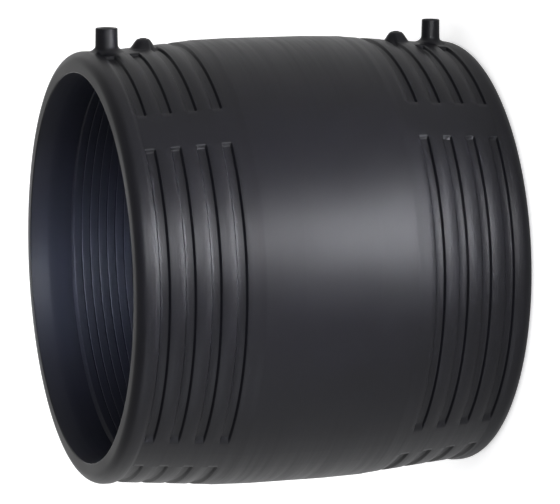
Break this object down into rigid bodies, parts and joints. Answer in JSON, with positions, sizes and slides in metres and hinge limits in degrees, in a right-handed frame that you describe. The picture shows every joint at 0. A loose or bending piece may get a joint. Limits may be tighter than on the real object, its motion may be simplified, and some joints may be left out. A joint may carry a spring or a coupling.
{
  "type": "electrofusion coupler",
  "caption": "Black moulded sleeve that joins pipe ends by fusion, with a wire-wound socket at each end, shrouded terminals, indicator domes and channels round the barrel.",
  "frame": {"origin": "on the bore axis at mid-length", "axes": "+Z along the bore axis, out of the upper socket; +X towards the terminals and the fusion indicators; the coupler stands on its lower end face, which looks along -Z"},
  "size_m": [0.3034, 0.294, 0.262],
  "materials": {
    "body_plastic": "satin",
    "wire_coat": "satin",
    "terminal_brass": "satin",
    "indicator_plastic": "matte"
  },
  "bodies": {
    "root": {"coupler_body": "body_plastic", "heating_winding": "wire_coat", "upper_terminal_pin": "terminal_brass", "lower_terminal_pin": "terminal_brass", "upper_fusion_indicator": "indicator_plastic", "lower_fusion_indicator": "indicator_plastic"}
  },
  "joints": []
}
